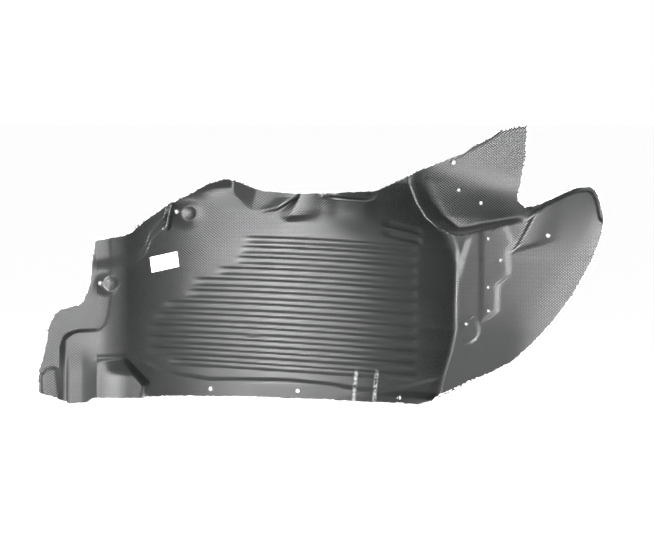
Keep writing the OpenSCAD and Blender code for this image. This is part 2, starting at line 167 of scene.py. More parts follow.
class StageSettings(bpy.types.PropertyGroup):
    """Floor, lamps, room light and camera distance"""
    floor_colour: bpy.props.StringProperty(name="Floor colour",
        description="Colour of the floor, sRGB hex", default="#fdfdfd")
    key_power: bpy.props.FloatProperty(name="Key light",
        description="Power of the softbox beside the camera", default=138, unit="POWER")
    fill_power: bpy.props.FloatProperty(name="Fill light",
        description="Power of the softbox above and to the right", default=8, unit="POWER")
    back_power: bpy.props.FloatProperty(name="Back light",
        description="Power of the softbox behind the liner", default=40, unit="POWER")
    sky: bpy.props.FloatProperty(name="Room light",
        description="Strength of the even light of the room", default=1.0, subtype="FACTOR")
    distance: bpy.props.FloatProperty(name="Camera distance",
        description="Distance from the camera to the liner", default=12.0, unit="LENGTH")


def look(x, pts):
    """Height of a drawn line at x: straight between its points, level beyond its ends."""
    p = np.asarray(pts, float)
    return np.interp(x, p[:, 0], p[:, 1])


def hold(t):
    """t kept between 0 and 1."""
    return np.clip(t, 0, 1)


def soft(t):
    """Smooth step: 0 below t = 0, 1 above t = 1, and t squared times (3 - 2t) between."""
    c = hold(t)
    return c * c * (3 - 2 * c)


def round_max(a, b, r):
    """The larger of a and b, with their corner rounded over the width r."""
    return np.maximum(a, b) + np.maximum(r - np.abs(a - b), 0) ** 2 / (4 * r)


def inside(x, z, pts):
    """How far inside a closed line's straight sides a point is: the least of the distances
    from each side, where the sides run clockwise."""
    d = []
    for a, b in zip(pts, pts[1:] + pts[:1]):
        side = math.hypot(b[0] - a[0], b[1] - a[1])
        d.append(((b[1] - a[1]) * (x - a[0]) - (b[0] - a[0]) * (z - a[1])) / side)
    return np.min(d, axis=0)


def off_line(x, z, a, b):
    """Distance from the straight line between the points a and b."""
    dx, dz = b[0] - a[0], b[1] - a[1]
    t = hold(((x - a[0]) * dx + (z - a[1]) * dz) / (dx * dx + dz * dz))
    return np.hypot(x - a[0] - t * dx, z - a[1] - t * dz)


def arc_in(w):
    """How far a circle of the arch's radius has come in at the distance w from its middle."""
    return ARCH_R - np.sqrt(np.maximum(1, ARCH_R ** 2 - w * w))


def corner_depth(z):
    """How far the corner of arch and panel stands in front of the arch's deepest line: its
    drawn line, smoothed by the mean of five readings over 60 mm."""
    return sum(look(z + step, CREASE_Y) for step in (-30, -15, 0, 15, 30)) / 5


def arch(x, z):
    """The barrel over the wheel: a circle left of its middle, and from its left end a run
    that flattens out to a straight slope by an exponential; to the right, a circle's curve
    drawn out so that it reaches the corner of arch and panel at that corner's own depth,
    and falls off steeply a little past it."""
    s = (x - ARCH_X) / (look(z, CREASE_X) - ARCH_X)
    past = 1.03
    d = np.maximum(ARCH_X - ARC_LEFT - x, 0)
    run = (ARCH_Y - arc_in(ARC_LEFT) - RUN_SLOPE * d
           - RUN_BEND * (1 - np.exp(-d / RUN_BEND)))
    left = ARCH_Y - arc_in(np.minimum(np.abs(x - ARCH_X), ARCH_R - 1))
    right = (ARCH_Y - corner_depth(z) * arc_in(np.minimum(past, s) * ARC_END) / arc_in(ARC_END)
             - np.maximum(0, s - past) * 500)
    return np.where(x < ARCH_X - ARC_LEFT, run, np.where(x < ARCH_X, left, right))


def beyond_corner(x, z, rise, curl, top):
    """A face that leaves the corner of arch and panel at the slope rise, back from the eye,
    and bends forward again by curl times the square of its distance. Over the height top,
    the corner's line is taken as upright."""
    d = x - look(np.minimum(z, top), CREASE_X)
    return ARCH_Y - corner_depth(z) + rise * d - np.where(d < 0, 0, curl * d * d)


def above_foot(x, z):
    """Height over the foot of the fin, whose drawn line is smoothed over 24 mm."""
    return z - (look(x - 12, FIN_LOW) + look(x, FIN_LOW) + look(x + 12, FIN_LOW)) / 3


def over_ledge(x, z):
    """Share of the ledge at the fin's foot that is below a point: 0 under it, 1 above it."""
    return hold((above_foot(x, z) + LEDGE / 2) / LEDGE)


def form(x, z):
    """The plain form without its small features, as depth Y in mm: arch and front face meet
    in a rounded corner, which is rounder just under the fin. The front face changes from
    panel to fin over the ledge, by the square of the share of it that is below. Over the
    fin's foot a cove runs back: a slope of 0.6 below a falling line, rounded at its top. The
    lobe's lower rim and its tip come forward by the square of how far a point is inside the
    last 90 mm of the one and above Z 270 mm on the other."""
    up = over_ledge(x, z) ** 2
    cove = (round_max(0.6 * (428 - 0.42 * (x - 250) - z), 0, 20) * (1 - hold((x - 360) / 90))
        * soft((x - look(z, CREASE_X) + 10) / 50))
    curl = 0.0008 * np.maximum(0, 90 - (z - look(x, LOW_EDGE))) ** 2 * soft((x - 290) / 120)
    tip = 0.0022 * np.maximum(0, z - 270) ** 2 * soft((x - 350) / 70)
    panel = beyond_corner(x, z, 0.5, 0.00075, 270) - curl - tip
    fin = beyond_corner(x, z, 0.4, 0.0014, HIGH_END) + cove
    corner = 14 + 6 * up + 26 * soft((z - 235) / 60) * (1 - up)
    return round_max(arch(x, z), panel * (1 - up) + fin * up, corner)


def slope_across(x, z, step):
    """Slope of the plain form along X, from its depths a step to the right and to the left."""
    return (form(x + step, z) - form(x - step, z)) / (2 * step)


def rib_mid(k, x, pitch):
    """Height of the middle of the rib that is k pitches above the sheet's middle rib line:
    rows a little closer at top and bottom by a cube term, which sink to the right by a
    straight term and, more so the higher they are, by a square one."""
    t = (x - ARCH_X) / 100
    return (RIB_Z + pitch * (k - 0.0017 * k ** 3) - 0.1 * k * k - (5 - 0.27 * k) * t
            - (0.1 + 0.12 * k) * t * t)


def rib_cut(v):
    """Cross-section of a rib over v from -1 to 1, foot to foot: a flat crown between two soft
    slopes, each a quarter of the width."""
    return soft((1 - np.abs(v)) / 0.5)


def ribs(x, z, rib):
    """The twelve long ribs and the two short ones above them: each is its cross-section in
    height times a smooth run-out at its two ends. The long ones are a little narrower in the
    top and bottom rows, by a square term. The short ones are 1.4 times as high and fall to
    the right. A small tab, 19 by 6 mm, stands 1.5 mm proud on the ribs."""
    out = np.zeros(np.broadcast(x, z).shape)
    for j, left in enumerate(RIB_LEFT):
        k = j - (len(RIB_LEFT) - 1) / 2
        fade = soft((x - left) / 28) * soft((RIB_RIGHT - x) / 14)
        half = rib.w / 2 * (1 - 0.007 * k * k)
        out = np.maximum(out, fade * rib_cut((z - rib_mid(k, x, rib.pitch)) / half))
    for middle in SHORT_RIBS:
        fade = soft((x - 105) / 20) * soft((RIB_RIGHT + 8 - x) / 12)
        cut = rib_cut((z - middle + 0.22 * (x - 150)) / (rib.w / 2.3))
        out = np.maximum(out, 1.4 * fade * cut)
    tab = 1.5 * soft((9.5 - np.abs(x + 125)) / 1.5) * soft((3 - np.abs(z - 120)) / 1.5)
    return rib.h * out + tab


def flange(x, z):
    """The flat lower edge: 5 mm further back below its drawn line, with soft ends."""
    f = (5 * soft((look(x, FLANGE_LINE) - z + 3) / 6) * soft((x + 330) / 30)
         * soft((look(z, CREASE_X) - x - 4) / 16))
    return np.where((x > 230) | (x < -330), 0, f)


def pleat(x, z, ridge, valley, deep, wide, upper):
    """One pleat of the top edge: the face comes forward smoothly to its ridge over the width
    given, goes back in a straight line to its valley, and returns smoothly to the plain form
    over 60 mm. Where upper is 0, it doesn't come forward."""
    r, v = look(z, ridge), look(z, valley)
    rise, s = -0.5 * upper * soft((x - r + wide) / wide), (x - r) / (v - r)
    drop = s * (0.5 + 0.5 * upper) - 0.5 * upper
    back = 0.5 * soft(1 - (x - v) / 60)
    return deep * np.where(x < r, rise, np.where(x < v, drop, back))


def top_folds(x, z):
    """Both pleats, the strip set back behind the lip, the soft shoulder under it, two 3.5 mm
    steps across the shoulder with a level stretch between them, and the edge that rolls
    back left of the first pleat by the square of the height over a drawn line."""
    upper = soft((z - look(x, [[-130, 338], [-81, 345], [-42, 369]])) / 8)
    one = pleat(x, z, RIDGE_ONE, VALLEY_ONE, 24 * hold((z - 348) / 40), 60, 1)
    two = pleat(x, z, RIDGE_TWO, VALLEY_TWO, 16 * soft((z - 324) / 16), 50, upper)
    strip = 22 * soft((z - look(x, LIP) + 2) / 9) * soft((x + 4) / 34) * soft((105 - x) / 20)
    shoulder = 4 * soft((z - 322) / 30) * soft((x + 60) / 50) * soft((110 - x) / 40)
    steps = ((7 * hold((x - 2) / 104) - 3.5 * soft((x - 4) / 28) - 3.5 * soft((x - 74) / 32))
        * soft((z - 320) / 22) * soft((374 - z) / 9))
    roll = (30 * hold((z - look(x, [[-280, 352], [-240, 362], [-150, 372]])) / 45) ** 2
        * soft((x + 290) / 40) * soft((look(z, RIDGE_ONE) - x + 4) / 8))
    return np.where((z > 300) & (x < 130), one + two + strip + shoulder + steps + roll, 0)


def left_plate(x, z):
    """The flat piece at the upper left, 9 mm back, with the ridge at its right side."""
    back = np.where(x > -268, 0, 9 * soft((z - look(x, PLATE_LOW)) / 26) * soft((-268 - x) / 10))
    return back - 6 * soft(1 - off_line(x, z, (-271, 360), (-279, 318)) / 8)


def screw_seat(x, z, centre, rx, rz, across):
    """A soft bowl 10 mm deep round a screw hole, rx wide and rz high to each side, and beside
    the hole a dome of 13 mm radius pressed 8 mm forward, which falls off by the square of
    the distance from its middle."""
    r = np.hypot((x - centre[0]) / rx, (z - centre[1]) / rz)
    d = np.hypot(x - centre[0] - across, z - centre[1] - 2)
    return 10 * soft(1 - r) - 8 * hold(1 - (d / 13) ** 2)


def left_end(x, z):
    """The pressed end: a dish that gets deeper to the left, the box pressed forward at its
    foot, the tilted corner beside it with a ledge on top, and the small patch at its outer
    side."""
    d = np.minimum(np.minimum(look(x, DISH_TOP) - z, x + 470), 20)
    dish = ((1.5 + 15 * hold((-392 - x) / 74)) * soft(d / (8 + 7 * hold((-440 - x) / 20)))
            * soft((-335 - x) / 40))
    roof = np.minimum(soft((x + 474) / 26), hold((-394 - x) / 34))
    box = 17 * soft((118 - z) / 62) * roof
    corner = 0.62 * np.maximum(0, x + 404) * soft(inside(x, z, CORNER) / 9) * soft((92 - z) / 40)
    ledge = 3 * soft(1 - np.abs(z - 87) / 8) * soft((x + 408) / 8) * soft((-346 - x) / 14)
    patch = 6 * soft((inside(x, z, PATCH) + 4) / 9)
    return np.where(x < -300, dish - box - corner - ledge - patch, 0)


def front_marks(x, z):
    """On the front panel and the lobe: the pad set back 3.6 mm, the pocket round the lowest
    hole, the fold across the lobe's root and the rims turned forward along the tops of lobe
    and fin."""
    right = look(z, PAD_RIGHT)
    low = np.minimum(z - 148 - 0.55 * (x - 283), look(x, FIN_LOW) - z + 4)
    pad = 3.6 * soft((x - 281) / 9) * hold(np.minimum(low, right - x + 4) / 9)
    pocket = 3 * soft((1 - np.hypot((x - 262) / 22, (z - 138) / 26)) / 0.2) * soft((x - 246) / 8)
    d = np.minimum((x - 339) * 0.87 - (z - 275) * 0.48, (z - 275) - 0.25 * (x - 339))
    fold = 7 * hold(d / 7) * soft((430 - x) / 60)
    d = np.min([off_line(x, z, p, q) for p, q in zip(LOBE_EDGE[1:-1], LOBE_EDGE[2:])], axis=0)
    lobe = 7 * soft((12 - d) / 7) * soft((x - 366) / 20)
    fin = 4.2 * soft(1 - (look(x, TOP_EDGE) - z) / 10)
    rim = np.where((x > 352) & (z < 396), lobe, np.where((x > 150) & (z > 380), fin, 0))
    return np.where(x > 240, pad + pocket - fold - rim, 0)


def side_fold(x, z):
    """A soft fold beside the corner of arch and panel: the face falls up to 4 mm behind its
    plane from the corner to a drawn line, and comes back to it over 10 mm across that line."""
    a, b = look(z, CREASE_X) - 2, look(z, SIDE_FOLD)
    depth = 4 * soft((z - 215) / 50) * soft((309 - z) / 12)
    return depth * np.minimum(hold((x - a) / np.maximum(b - 5 - a, 6)), hold((b + 5 - x) / 10))


class RibShape:
    """The ribs' height, width and pitch in mm."""

    def __init__(self, settings):
        self.h = settings.rib_h * 1000
        self.w = settings.rib_w * 1000
        self.pitch = settings.rib_pitch * 1000


def face(x, z, rib):
    """Depth Y of the sheet's front in mm: the plain form with every feature added."""
    return (form(x, z) - ribs(x, z, rib) + flange(x, z) + top_folds(x, z) + left_plate(x, z)
            + screw_seat(x, z, SEAT_TOP, 36, 31, 6) + screw_seat(x, z, SEAT_LEFT, 25, 23, 8)
            + left_end(x, z) + front_marks(x, z) + side_fold(x, z))


def lean(n, z):
    """Place along X of the grid column n at height z: the columns beside the corner of arch
    and panel lean with it, and those left of the notch lean with the side of the fin."""
    c = look(z, CREASE_X)
    # from the first to the last column that leans, the one that lies on the corner between
    # them, and the first that leans with the fin
    first, corner, last, fin = 130, 240, 281, 300
    x = np.where((n > first) & (n <= corner),
        first + (c - first) * (n - first) / (corner - first), n)
    x = np.where((n > corner) & (n < last), last - (last - c) * (last - n) / (last - corner), x)
    side = look(z, FIN_SIDE) * (n - fin) / (NOTCH - fin)
    return x + np.where((n > fin) & (n <= NOTCH), side, 0)


def sheet_grid():
    """Place of each grid point on the sheet, as (x, z) arrays: the heights run evenly from
    the lower edge to a middle line, and from there to the upper edge. The lobe has only
    the lower part of the rows, which end at its own edge."""
    n = np.linspace(LEFT_END, NOTCH, CELLS + 1)[:, None]
    t = np.linspace(0, 1, LOW_ROWS + 1)[None, :]
    u = np.linspace(0, 1, HIGH_ROWS + 1)[None, 1:]
    low, mid = look(lean(n, 0.0), LOW_EDGE), look(n, MID_LINE)
    top = look(lean(n, HIGH_END), TOP_EDGE)
    z = np.concatenate([low + (mid - low) * t, mid + (top - mid) * u], axis=1)
    x = lean(n + 0 * z, z)
    m = np.linspace(NOTCH, RIGHT_END, LOBE_CELLS + 1)[1:, None]
    low, top = look(m, LOW_EDGE), look(m, LOBE_EDGE)
    return (x, z), (m + 0 * t, low + (top - low) * t)


def ring_warp(x, z, centre, r, i, k):
    """Draws the grid round a drilled hole: the border of the block of 4 by 4 cells about the
    point (i, k) goes onto the hole's circle, which is narrowed in X by the form's slope, and
    the change fades out over 4 more cells."""
    short = 1 / math.hypot(1, float(slope_across(centre[0], centre[1], 8.0)))
    a, b = np.arange(x.shape[0])[:, None] - i, np.arange(x.shape[1])[None, :] - k
    q = np.maximum(np.abs(a), np.abs(b)) / 2.0
    ang, near, w = np.arctan2(b * 1.0, a * 1.0), q < 3, soft((q - 1) / 2)
    x[near] = ((centre[0] + r * q * np.cos(ang) * short) * (1 - w) + x * w)[near]
    z[near] = ((centre[1] + r * q * np.sin(ang)) * (1 - w) + z * w)[near]


def grain_depth(x, z):
    """Depth of the grain: 1.25 on the arch and up to 1.9 on the fin, 1.45 on the lobe, 1.8 on
    the left end and 1.6 under the top folds, where the sheet was stretched less."""
    up = soft((above_foot(x, z) - 40) / 60) * soft((x - look(z, CREASE_X)) / 60)
    lobe = soft((x - 330) / 80) * (1 - over_ledge(x, z))
    end = soft((-375 - x) / 70)
    top = soft((x + 250) / 60) * soft((-40 - x) / 50) * soft((z - 285) / 40)
    return 1.25 + 0.65 * up + 0.2 * lobe + 0.55 * end + 0.35 * top


def mattness(x, z):
    """How matt the skin is, from 0 to 1, where the sheet did not press on the mould: in the
    valley at the fin's foot, and less so on the left end and along the middle of the lower
    flange."""
    valley = (soft((7 - np.abs(above_foot(x, z) - 5)) / 5) * soft((x - 206) / 12)
        * soft((382 - x) / 12))
    end = 0.1 * soft((-375 - x) / 70)
    low = 0.5 * soft((x + 150) / 40) * soft((40 - x) / 40) * soft((34 - z) / 10)
    return np.maximum(np.maximum(valley, end), low)


def trim_distance(x, z):
    """Distance in mm of each point from the trimmed outline, or from the nearest hole's rim
    and 1.1 mm more, because a drilled rim is cleaner."""
    side = [[NOTCH + d, h] for h, d in FIN_SIDE]
    loop = TOP_EDGE + side[::-1] + LOBE_EDGE + LOW_EDGE[::-1] + TOP_EDGE[:1]
    d = np.full(x.shape, 1e3)
    for a, b in zip(loop[:-1], loop[1:]):
        d = np.minimum(d, off_line(x, z, a, b) if a != b else 1e3)
    for cx, cz, across in HOLES:
        d = np.minimum(d, np.abs(np.hypot(x - cx, z - cz) - across / 2) + 1.1)
    return d


def back_of(x, y, z, rib, thick):
    """The rear face: each point goes back square to the plain form's slope along X, further
    where the small features are steep, so that the wall stays about as thick."""
    across = slope_across(x, z, 4)
    up = (face(x, z + 3, rib) - face(x, z - 3, rib)) / 6
    t = thick * np.minimum(1.8, np.sqrt(1 + up * up)) / np.sqrt(1 + across * across)
    return x - across * t, y + t


def along_sheet(x, z):
    """Length in mm along the sheet from the arch's deepest line to each point of the arch:
    the plain form's length, added up along X every 2 mm at heights 10 mm apart, and read off
    between them. On the front face it is X times 1.06, set to meet the arch's length at
    Z 200."""
    reach, high, step, rise, level, stretch = 520, 510, 2, 10, 200, 1.06
    line = np.linspace(-reach, reach, 2 * reach // step + 1)
    heights = np.linspace(0, high, high // rise + 1)
    y = form(line[None, :] + 0 * heights[:, None], heights[:, None] + 0 * line[None, :])
    run = np.cumsum(np.hypot(np.diff(line)[None, :], np.diff(y, axis=1)), axis=1)
    run = np.concatenate([np.zeros((len(heights), 1)), run], axis=1)
    run -= run[:, [int(np.argmin(np.abs(line - ARCH_X)))]]
    u = np.clip((x + reach) / step, 0, len(line) - 1.01)
    v = np.clip(z / rise, 0, len(heights) - 1.01)
    i, k = u.astype(int), v.astype(int)
    u, v = u - i, v - k
    arch_length = ((run[k, i] * (1 - u) + run[k, i + 1] * u) * (1 - v)
        + (run[k + 1, i] * (1 - u) + run[k + 1, i + 1] * u) * v)
    corner = look(level, CREASE_X)
    front_length = np.interp(corner, line, run[level // rise]) + stretch * (x - corner)
    return np.where(x > look(z, CREASE_X) + 4, front_length, arch_length)


def quads(ids):
    """Faces between the neighbours of a 2-D array of point numbers, facing the viewer."""
    return np.stack([ids[:-1, :-1], ids[1:, :-1], ids[1:, 1:], ids[:-1, 1:]], axis=-1)


def sheet_points(rib, thick):
    """The formed sheet in mm of the drawing: a front grid, a rear grid of every second
    point, and the cut edge between them, with the drilled holes left open. Gives the
    points, the four-sided faces and the five-sided faces of the edge."""
    (x, z), (xl, zl) = sheet_grid()
    blocks = []
    for cx, cz, across in HOLES:
        gx, gz, off = (xl, zl, 1) if cx > NOTCH else (x, z, 0)
        e = np.hypot(gx - cx, gz - cz)
        # only a point that the rear grid has too can be the middle of a hole
        e[1 - off::2] = e[:, 1::2] = 1e9
        i, k = np.unravel_index(np.argmin(e), e.shape)
        ring_warp(gx, gz, (cx, cz), across / 2, i, k)
        blocks.append((cx > NOTCH, i + off, k))
    ids = np.arange(x.size).reshape(x.shape)
    idl = np.concatenate([ids[-1:, :LOW_ROWS + 1],
        x.size + np.arange(xl.size).reshape(xl.shape)])
    fx, fz = np.concatenate([x.ravel(), xl.ravel()]), np.concatenate([z.ravel(), zl.ravel()])
    fy = face(fx, fz, rib)
    take = np.zeros(fx.size, bool)
    take[ids[::2, ::2]] = take[idl[::2, ::2]] = True
    rear = fx.size + np.cumsum(take) - 1
    bx, by = back_of(fx[take], fy[take], fz[take], rib, thick)
    keep = np.ones((CELLS, LOW_ROWS + HIGH_ROWS), bool)
    keep_lobe = np.ones((LOBE_CELLS, LOW_ROWS), bool)
    borders = [ids[::-1, 0], ids[0], ids[:, -1], ids[-1, LOW_ROWS:][::-1], idl[:, -1],
        idl[-1, ::-1], idl[::-1, 0]]
    for lobe, i, k in blocks:
        (keep_lobe if lobe else keep)[i - 2:i + 2, k - 2:k + 2] = False
        g = (idl if lobe else ids)[i - 2:i + 3, k - 2:k + 3]
        borders.append(np.concatenate([g[:, 0], g[-1, 1:], g[-2::-1, -1], g[0, -2::-1]]))
    edge = []
    for line in borders:
        a, b, c = line[:-2:2], line[1:-1:2], line[2::2]
        edge.append(np.stack([a, b, c, rear[c], rear[a]], axis=-1))
    four = [quads(ids)[keep], quads(idl)[keep_lobe],
        quads(rear[ids[::2, ::2]])[keep[::2, ::2]][:, ::-1],
        quads(rear[idl[::2, ::2]])[keep_lobe[::2, ::2]][:, ::-1]]
    points = np.stack([np.concatenate(p) for p in ((fx, bx), (fy, by), (fz, fz[take]))],
        axis=-1)
    return points, np.concatenate(four), np.concatenate(edge)


def make_piece(name, points, faces, marks):
    """A smooth mesh object from points in metres and lists of faces; marks holds a value
    for each point by the name of its attribute."""
    me = bpy.data.meshes.new(name)
    me.vertices.add(len(points))
    me.vertices.foreach_set("co", points.astype(np.float32).ravel())
    loops = np.concatenate([f.ravel() for f in faces]).astype(np.int32)
    counts = np.concatenate([np.full(len(f), f.shape[1], np.int32) for f in faces])
    me.loops.add(len(loops))
    me.loops.foreach_set("vertex_index", loops)
    me.polygons.add(len(counts))
    me.polygons.foreach_set("loop_start", np.concatenate([[0], np.cumsum(counts)[:-1]]))
    me.polygons.foreach_set("loop_total", counts)
    me.update(calc_edges=True)
    for mark, values in marks.items():
        if mark == "UVMap":
            uv = me.uv_layers.new(name=mark)
            uv.data.foreach_set("uv", values[loops].astype(np.float32).ravel())
        else:
            at = me.attributes.new(mark, "FLOAT", "POINT")
            at.data.foreach_set("value", values.astype(np.float32))
    if me.validate(verbose=True):
        raise RuntimeError(name + " had faces that Blender can't use")
    piece = bpy.data.objects.new(name, me)
    bpy.context.scene.collection.objects.link(piece)
    return piece


def drawing_shift(rib, thick):
    """The step in mm from the drawing to the frame: the right-hand ends of the rear faces
    meet, and in depth it is the quarter point of the differences between the solid's points
    and the face, which is the middle value of those on its front."""
    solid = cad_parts["liner"].data
    co = np.empty(3 * len(solid.vertices), np.float32)
    solid.vertices.foreach_get("co", co)
    x, y, z = 1000.0 * co.reshape(-1, 3).T
    low, high = LOW_EDGE[-1][1], LOBE_EDGE[-1][1]
    ends = np.linspace(low, high, 7)
    rear, _ = back_of(RIGHT_END + 0 * ends, 0 * ends, ends, rib, thick)
    right = x.max() - max(RIGHT_END, rear.max())
    return np.array([right, np.percentile(y - face(x - right, z, rib), 25), 0])


def label_points(rib):
    """The label in mm of the drawing: a turned rectangle, shortened in X by the sheet's slope
    and bent along X as the sheet is at the height of its middle, with its front and rear
    face a little in front of the sheet."""
    across, up = (np.linspace(-0.5, 0.5, cells + 1) for cells in LABEL_CELLS)
    u, v = np.meshgrid(across, up, indexing="ij")
    a, b = u * LABEL_W, v * LABEL_H
    cos, sin = math.cos(LABEL_TURN), math.sin(LABEL_TURN)
    slope = float(slope_across(LABEL_X, LABEL_Z, 8.0))
    x = LABEL_X + (a * cos - b * sin) / math.hypot(1, slope)
    z = LABEL_Z + a * sin + b * cos
    y = face(x, LABEL_Z + 0 * z, rib)
    ids = np.arange(u.size).reshape(u.shape)
    rear = ids + u.size
    faces = [quads(ids).reshape(-1, 4), quads(rear).reshape(-1, 4)[:, ::-1]]
    for line in (ids[::-1, 0], ids[0], ids[:, -1], ids[-1, ::-1]):
        a, b = line[:-1], line[1:]
        faces.append(np.stack([a, b, b + u.size, a + u.size], axis=-1))
    points = np.concatenate([np.stack([x, y - off, z], axis=-1).reshape(-1, 3)
        for off in (LABEL_FRONT, LABEL_REAR)])
    return points, faces


def linear(colour):
    """An sRGB hex colour as linear RGBA."""
    part = [int(colour[i:i + 2], 16) / 255 for i in (1, 3, 5)]
    return [c / 12.92 if c <= 0.04045 else ((c + 0.055) / 1.055) ** 2.4 for c in part] + [1]


def add(tree, kind, links=None, **settings):
    """Adds a node: settings are its properties, or inputs where the name starts with in_
    and an index; links joins its inputs, by index or name, to other nodes' outputs."""
    node = tree.nodes.new(kind)
    for key, value in settings.items():
        if key.startswith("in_"):
            node.inputs[int(key[3:])].default_value = value
        else:
            setattr(node, key, value)
    for key, source in (links or {}).items():
        tree.links.new(source, node.inputs[key])
    return node


def new_material(name, colour, roughness, ior):
    """A material with only its shader and output: the numbers that are the same all over
    are set on the shader's own sockets."""
    m = bpy.data.materials.new(name)
    m.use_nodes = True
    m.node_tree.nodes.clear()
    shader = add(m.node_tree, "ShaderNodeBsdfPrincipled")
    shader.inputs["Base Color"].default_value = linear(colour)
    shader.inputs["Roughness"].default_value = roughness
    shader.inputs["IOR"].default_value = ior
    add(m.node_tree, "ShaderNodeOutputMaterial", {0: shader.outputs[0]})
    return m, m.node_tree, shader


def formed_polyethylene(s):
    """Black high-density polyethylene, vacuum formed from embossed sheet: a grey satin with a
    fine diamond grain, a whitish torn edge where it was trimmed, and light scuffs."""
    m, tree, shader = new_material("embossed_black_hdpe", s.sheet_colour,
        roughness=SATIN, ior=1.54)
    # a little under the usual 0.5, matched to how dark the sheet looks between its highlights
    shader.inputs["Specular IOR Level"].default_value = 0.39
    # the grain: a sine across times a cosine up, which makes diamonds of 6.2 by 4.6 mm. The
    # real grain may be a little finer: it is drawn this coarse so that it shows
    uv = add(tree, "ShaderNodeUVMap", uv_map="UVMap")
    xyz = add(tree, "ShaderNodeSeparateXYZ", {0: uv.outputs[0]})
    across = add(tree, "ShaderNodeMath", {0: xyz.outputs[0]}, operation="MULTIPLY",
        in_1=2 * math.pi / s.grain_across)
    up = add(tree, "ShaderNodeMath", {0: xyz.outputs[1]}, operation="MULTIPLY",
        in_1=2 * math.pi / s.grain_up)
    across = add(tree, "ShaderNodeMath", {0: across.outputs[0]}, operation="SINE")
    up = add(tree, "ShaderNodeMath", {0: up.outputs[0]}, operation="COSINE")
    grain = add(tree, "ShaderNodeMath", {0: across.outputs[0], 1: up.outputs[0]},
        operation="MULTIPLY")
    depth = add(tree, "ShaderNodeAttribute", attribute_name="grain_depth")
    grain = add(tree, "ShaderNodeMath", {0: grain.outputs[0], 1: depth.outputs["Fac"]},
        operation="MULTIPLY")
    bump = add(tree, "ShaderNodeBump", {"Height": grain.outputs[0]})
    bump.inputs["Strength"].default_value = 1.0
    bump.inputs["Distance"].default_value = GRAIN_HEIGHT
    tree.links.new(bump.outputs[0], shader.inputs["Normal"])
    # the skin is duller where the sheet did not press on the mould
    matt = add(tree, "ShaderNodeAttribute", attribute_name="matt")
    dull = add(tree, "ShaderNodeMapRange", {0: matt.outputs["Fac"]}, in_1=0.0, in_2=1.0,
        in_3=SATIN, in_4=MATT)
    tree.links.new(dull.outputs[0], shader.inputs["Roughness"])
    # cloudy change of tone, over about 60 mm, as handling and dust leave on dark plastic
    place = add(tree, "ShaderNodeTexCoord")
    cloud = add(tree, "ShaderNodeTexNoise", {"Vector": place.outputs["Object"]})
    cloud.inputs["Scale"].default_value = 1 / CLOUD
    cloud.inputs["Detail"].default_value = 4
    tone = add(tree, "ShaderNodeMapRange", {0: cloud.outputs[0]}, in_1=0.3, in_2=0.7,
        in_3=0.9, in_4=1.12)
    plain = add(tree, "ShaderNodeVectorMath", {"Scale": tone.outputs[0]}, operation="SCALE",
        in_0=linear(s.sheet_colour)[:3])
    # the trimmed edge: whitish up to 2.5 mm in at its widest, made ragged by noise of about
    # 4 mm; the attribute trim is in mm
    trim = add(tree, "ShaderNodeAttribute", attribute_name="trim")
    torn = add(tree, "ShaderNodeTexNoise", {"Vector": place.outputs["Object"]})
    torn.inputs["Scale"].default_value = 1 / TORN
    reach = add(tree, "ShaderNodeMapRange", {0: torn.outputs[0]}, in_1=0.35, in_2=0.65,
        in_3=0.0, in_4=2.2)
    near = add(tree, "ShaderNodeMath", {0: reach.outputs[0], 1: trim.outputs["Fac"]},
        operation="SUBTRACT")
    edge = add(tree, "ShaderNodeMapRange", {0: near.outputs[0]}, in_1=-0.3, in_2=0.9,
        in_3=0.0, in_4=1.0)
    # two dotted chalk-like lines 37 mm apart that lean a little and end about 60 mm up: the
    # distance from the nearer one is worked out from the distance from their middle line
    spot = add(tree, "ShaderNodeSeparateXYZ", {0: place.outputs["Object"]})
    off = add(tree, "ShaderNodeMath", {0: spot.outputs[2], 2: spot.outputs[0]},
        operation="MULTIPLY_ADD", in_1=-CHALK_LEAN)
    for away in (CHALK_X, CHALK_HALF):
        off = add(tree, "ShaderNodeMath", {0: off.outputs[0]}, operation="SUBTRACT", in_1=away)
        off = add(tree, "ShaderNodeMath", {0: off.outputs[0]}, operation="ABSOLUTE")
    line = add(tree, "ShaderNodeMapRange", {0: off.outputs[0]}, in_1=CHALK_WIDTH[0],
        in_2=CHALK_WIDTH[1], in_3=1.0, in_4=0.0)
    low = add(tree, "ShaderNodeMapRange", {0: spot.outputs[2]}, in_1=CHALK_TOP[0],
        in_2=CHALK_TOP[1], in_3=1.0, in_4=0.0)
    dots = add(tree, "ShaderNodeMapRange", {0: torn.outputs[0]}, in_1=0.4, in_2=0.6,
        in_3=0.0, in_4=0.34)
    chalk = line
    for share in (low, dots):
        chalk = add(tree, "ShaderNodeMath", {0: chalk.outputs[0], 1: share.outputs[0]},
            operation="MULTIPLY")
    light = add(tree, "ShaderNodeMath", {0: edge.outputs[0], 1: chalk.outputs[0]},
        operation="MAXIMUM")
    mix = add(tree, "ShaderNodeMix", {0: light.outputs[0], 6: plain.outputs[0]},
        data_type="RGBA")
    mix.inputs[7].default_value = linear(s.scuff_colour)
    tree.links.new(mix.outputs[2], shader.inputs["Base Color"])
    return m


